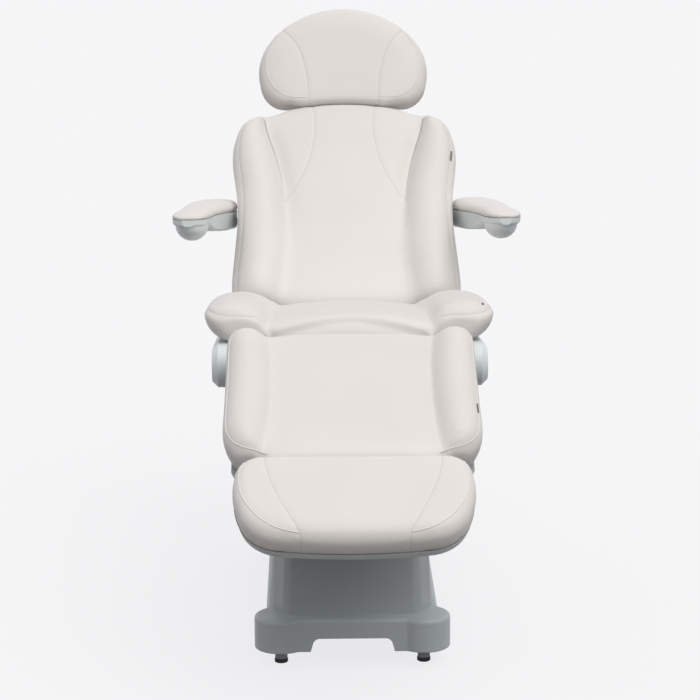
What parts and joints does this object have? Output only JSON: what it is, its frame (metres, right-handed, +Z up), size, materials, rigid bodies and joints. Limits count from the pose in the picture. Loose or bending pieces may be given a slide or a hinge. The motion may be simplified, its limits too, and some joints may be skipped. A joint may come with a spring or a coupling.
{
  "type": "beauty treatment chair",
  "caption": "Padded treatment chair on a lifting pedestal with reclining back, winged seat, hinged leg rest, sliding foot rest, headrest and fold-up armrests.",
  "frame": {"origin": "middle of the bounding box on the floor, under the chair as it stands in the picture", "axes": "+X to the sitter's left, -Y to the front (foot rest), +Z up"},
  "size_m": [0.81, 1.6559, 1.3164],
  "materials": {
    "upholstery": "matte",
    "cover_plastic": "satin",
    "frame_paint": "satin",
    "column_alloy": "satin",
    "steel": "satin",
    "pan_board": "matte",
    "black_plastic": "matte",
    "foot_rubber": "matte"
  },
  "bodies": {
    "base": {"base_frame": "frame_paint", "base_cover": "cover_plastic", "pedestal_cover": "cover_plastic", "column_fixed": "column_alloy", "control_box": "black_plastic", "mains_inlet": "black_plastic"},
    "lift_middle": {"column_middle": "column_alloy", "middle_sleeve": "cover_plastic"},
    "lift_top": {"column_top": "column_alloy", "top_sleeve": "cover_plastic", "lift_head": "frame_paint", "tilt_pins": "steel", "tilt_actuator": "black_plastic"},
    "tilt_rod": {"tilt_actuator_rod": "steel"},
    "seat": {"seat_frame": "frame_paint", "seat_pan": "pan_board", "seat_shell": "cover_plastic", "seat_cushion": "upholstery", "seat_bolster_left": "upholstery", "seat_bolster_right": "upholstery", "side_cover_left": "cover_plastic", "side_cover_right": "cover_plastic", "leg_hinge_pins": "steel", "back_hinge_pins": "steel", "leg_actuator": "black_plastic", "back_actuator": "black_plastic"},
    "leg_rod": {"leg_actuator_rod": "steel"},
    "back_rod": {"back_actuator_rod": "steel"},
    "back": {"back_frame": "frame_paint", "back_shell": "cover_plastic", "back_cushion": "upholstery", "back_wing_left": "upholstery", "back_wing_right": "upholstery", "armrest_pivots": "steel"},
    "head_carrier": {"head_posts": "steel"},
    "headrest": {"head_shell": "cover_plastic", "head_cushion": "upholstery"},
    "armrest_left": {"armrest_shell_left": "cover_plastic", "armrest_pad_left": "upholstery"},
    "armrest_right": {"armrest_shell_right": "cover_plastic", "armrest_pad_right": "upholstery"},
    "legrest": {"leg_frame": "frame_paint", "leg_shell": "cover_plastic", "leg_cushion": "upholstery", "leg_bolster_left": "upholstery", "leg_bolster_right": "upholstery"},
    "footrest": {"foot_rails": "steel", "foot_shell": "cover_plastic", "foot_cushion": "upholstery"},
    "foot_front_left": {"foot_stem_front_left": "steel", "foot_pad_front_left": "foot_rubber"},
    "foot_front_right": {"foot_stem_front_right": "steel", "foot_pad_front_right": "foot_rubber"},
    "foot_rear_left": {"foot_stem_rear_left": "steel", "foot_pad_rear_left": "foot_rubber"},
    "foot_rear_right": {"foot_stem_rear_right": "steel", "foot_pad_rear_right": "foot_rubber"}
  },
  "joints": [
    {"name": "lift_lower_stage", "type": "slide", "parent": "base", "child": "lift_middle", "axis": [0, 0, 1], "range_m": [-0.055, 0.12]},
    {"name": "lift_upper_stage", "type": "slide", "parent": "lift_middle", "child": "lift_top", "axis": [0, 0, 1], "range_m": [-0.055, 0.12]},
    {"name": "seat_tilt", "type": "hinge", "parent": "lift_top", "child": "seat", "pos_m": [0, -0.0098, 0.524], "axis": [-1, 0, 0], "range_deg": [-6.4, 8]},
    {"name": "tilt_rod_slide", "type": "slide", "parent": "lift_top", "child": "tilt_rod", "axis": [0, 0, 1], "range_m": [-0.02, 0.022]},
    {"name": "back_recline", "type": "hinge", "parent": "seat", "child": "back", "pos_m": [0, 0.23709, 0.60536], "axis": [-1, 0, 0], "range_deg": [-20, 53.4]},
    {"name": "back_rod_slide", "type": "slide", "parent": "seat", "child": "back_rod", "axis": [0, 0.9938, -0.1115], "range_m": [-0.075, 0.03]},
    {"name": "leg_lower", "type": "hinge", "parent": "seat", "child": "legrest", "pos_m": [0, -0.21946, 0.63494], "axis": [1, 0, 0], "range_deg": [-36.4, 20]},
    {"name": "leg_rod_slide", "type": "slide", "parent": "seat", "child": "leg_rod", "axis": [0, 0.9938, -0.1115], "range_m": [-0.052, 0.03]},
    {"name": "foot_extend", "type": "slide", "parent": "legrest", "child": "footrest", "axis": [0, -0.866, -0.5], "range_m": [0, 0.12]},
    {"name": "headrest_height", "type": "slide", "parent": "back", "child": "head_carrier", "axis": [0, 0.682, 0.7314], "range_m": [0, 0.09]},
    {"name": "headrest_tip", "type": "hinge", "parent": "head_carrier", "child": "headrest", "pos_m": [0, 0.74399, 1.06245], "axis": [-1, 0, 0], "range_deg": [0, 30]},
    {"name": "armrest_fold_left", "type": "hinge", "parent": "back", "child": "armrest_left", "pos_m": [0, 0.5127, 0.81734], "axis": [-1, 0, 0], "range_deg": [0, 100]},
    {"name": "armrest_fold_right", "type": "hinge", "parent": "back", "child": "armrest_right", "pos_m": [0, 0.5127, 0.81734], "axis": [-1, 0, 0], "range_deg": [0, 100]},
    {"name": "foot_turn_front_left", "type": "hinge", "parent": "base", "child": "foot_front_left", "pos_m": [0.154, -0.3798, 0.05], "axis": [0, 0, 1], "continuous": true},
    {"name": "foot_turn_front_right", "type": "hinge", "parent": "base", "child": "foot_front_right", "pos_m": [-0.154, -0.3798, 0.05], "axis": [0, 0, 1], "continuous": true},
    {"name": "foot_turn_rear_left", "type": "hinge", "parent": "base", "child": "foot_rear_left", "pos_m": [0.154, 0.3802, 0.05], "axis": [0, 0, 1], "continuous": true},
    {"name": "foot_turn_rear_right", "type": "hinge", "parent": "base", "child": "foot_rear_right", "pos_m": [-0.154, 0.3802, 0.05], "axis": [0, 0, 1], "continuous": true}
  ],
  "couplings": [
    {"joint": "lift_upper_stage", "follows": "lift_lower_stage", "ratio": 1},
    {"joint": "tilt_rod_slide", "follows": "seat_tilt", "m_per_rad": 0.11091},
    {"joint": "back_rod_slide", "follows": "back_recline", "m_per_rad": -0.076},
    {"joint": "leg_rod_slide", "follows": "leg_lower", "m_per_rad": 0.0772}
  ]
}
